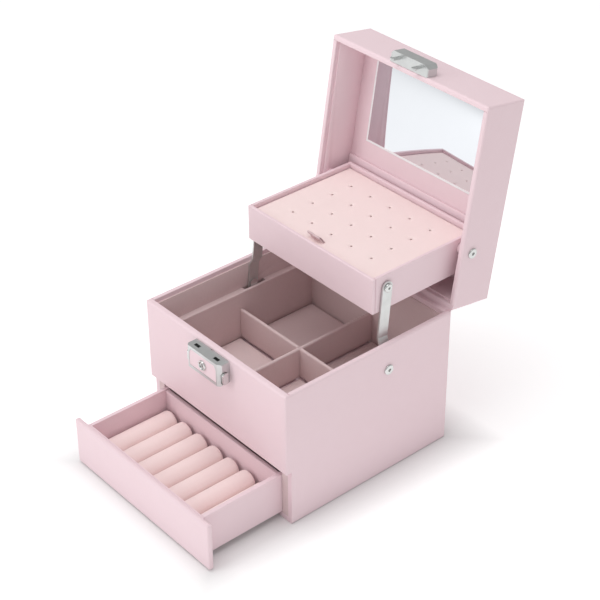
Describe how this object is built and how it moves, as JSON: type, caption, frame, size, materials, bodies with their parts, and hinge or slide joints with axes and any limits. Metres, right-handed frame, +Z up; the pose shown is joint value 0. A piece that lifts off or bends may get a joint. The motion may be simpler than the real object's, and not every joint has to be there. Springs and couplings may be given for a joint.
{
  "type": "jewelry box",
  "caption": "Square jewelry box with a hinged mirrored lid that raises a padded tray on link arms, divided compartments, a lock and a pull-out ring drawer.",
  "frame": {"origin": "centre of the underside of the box, on the surface that it stands on", "axes": "+X to the box's right seen from the front, +Y from the front to the hinge, +Z up"},
  "size_m": [0.178, 0.3198, 0.3082],
  "materials": {
    "pu_leather": "smooth fine-grained pale pink leathercloth, satin",
    "velvet": "short-pile pink velvet on board, matte",
    "soft_velvet": "short-pile pale peach-pink velvet over foam, matte",
    "polished_nickel": "bright nickel plate",
    "satin_nickel": "satin nickel plate",
    "arm_steel": "bright nickel-plated sheet steel",
    "mirror_glass": "silvered glass with a ground edge",
    "lock_inlay": "pale pink leathercloth, satin",
    "tab_leather": "folded leathercloth strip, satin"
  },
  "bodies": {
    "body": {"base_board": "pu_leather", "side_board_left": "pu_leather", "side_board_right": "pu_leather", "rear_board": "pu_leather", "front_panel": "pu_leather", "bay_side_left": "velvet", "bay_side_right": "velvet", "shelf_board": "pu_leather", "rail_left": "velvet", "rail_right": "velvet", "compartment_floor": "velvet", "body_lining": "velvet", "long_divider": "velvet", "cross_divider_left": "velvet", "cross_divider_right": "velvet", "body_rivet_left": "polished_nickel", "body_rivet_right": "polished_nickel", "hinge_leaf_body": "pu_leather", "lock_housing": "satin_nickel", "lock_inlay": "lock_inlay", "lock_ring": "polished_nickel"},
    "lid": {"lid_top_board": "pu_leather", "lid_front_board": "pu_leather", "lid_rear_board": "pu_leather", "lid_side_left": "pu_leather", "lid_side_right": "pu_leather", "lid_lining": "pu_leather", "mirror_panel": "pu_leather", "mirror_glass": "mirror_glass", "lid_batten": "pu_leather", "lid_rivet_left": "polished_nickel", "lid_rivet_right": "polished_nickel", "spacer_left": "pu_leather", "spacer_right": "pu_leather", "hinge_leaf_lid": "pu_leather", "hasp": "satin_nickel"},
    "tray": {"tray_front": "pu_leather", "tray_rear": "pu_leather", "tray_side_left": "pu_leather", "tray_side_right": "pu_leather", "tray_floor": "pu_leather", "tray_lining": "velvet", "arm_rivet_left": "polished_nickel", "arm_rivet_right": "polished_nickel"},
    "earring_pad": {"earring_pad": "soft_velvet", "pull_tab": "tab_leather"},
    "link_arm_left": {"link_arm_left": "arm_steel"},
    "link_arm_right": {"link_arm_right": "arm_steel"},
    "drawer": {"drawer_front": "pu_leather", "drawer_inner_front": "pu_leather", "drawer_side_left": "pu_leather", "drawer_side_right": "pu_leather", "drawer_back": "pu_leather", "drawer_floor": "velvet", "drawer_partition": "pu_leather", "ring_rolls": "soft_velvet"},
    "lock_cylinder": {"lock_cylinder": "polished_nickel"},
    "lock_button_left": {"lock_button_left": "polished_nickel"},
    "lock_button_right": {"lock_button_right": "polished_nickel"}
  },
  "joints": [
    {"name": "lid_hinge", "type": "hinge", "parent": "body", "child": "lid", "pos_m": [0, 0.0873, 0.1267], "axis": [-1, 0, 0], "range_deg": [-99, 0]},
    {"name": "tray_hinge", "type": "hinge", "parent": "lid", "child": "tray", "pos_m": [0, 0.10638, 0.17369], "axis": [-1, 0, 0], "range_deg": [0, 99]},
    {"name": "link_arm_left_hinge", "type": "hinge", "parent": "tray", "child": "link_arm_left", "pos_m": [-0.07675, 0.02498, 0.17149], "axis": [-1, 0, 0], "range_deg": [-67.2, 0]},
    {"name": "link_arm_right_hinge", "type": "hinge", "parent": "tray", "child": "link_arm_right", "pos_m": [0.07675, 0.02498, 0.17149], "axis": [-1, 0, 0], "range_deg": [-67.2, 0]},
    {"name": "earring_pad_lift", "type": "slide", "parent": "tray", "child": "earring_pad", "axis": [0, 0, 1], "range_m": [0, 0.008]},
    {"name": "drawer_slide", "type": "slide", "parent": "body", "child": "drawer", "axis": [0, -1, 0], "range_m": [-0.077, 0.05]},
    {"name": "lock_cylinder_turn", "type": "hinge", "parent": "body", "child": "lock_cylinder", "pos_m": [0, -0.0935, 0.11375], "axis": [0, 1, 0], "range_deg": [0, 90]},
    {"name": "lock_button_left_press", "type": "slide", "parent": "body", "child": "lock_button_left", "axis": [1, 0, 0], "range_m": [0, 0.0015], "stiffness_N_per_m": 400, "springref_m": -0.0005},
    {"name": "lock_button_right_press", "type": "slide", "parent": "body", "child": "lock_button_right", "axis": [-1, 0, 0], "range_m": [0, 0.0015], "stiffness_N_per_m": 400, "springref_m": -0.0005}
  ],
  "couplings": [
    {"joint": "tray_hinge", "follows": "lid_hinge", "ratio": -1},
    {"joint": "link_arm_left_hinge", "follows": "lid_hinge", "ratio": 0.6776},
    {"joint": "link_arm_right_hinge", "follows": "lid_hinge", "ratio": 0.6776}
  ]
}
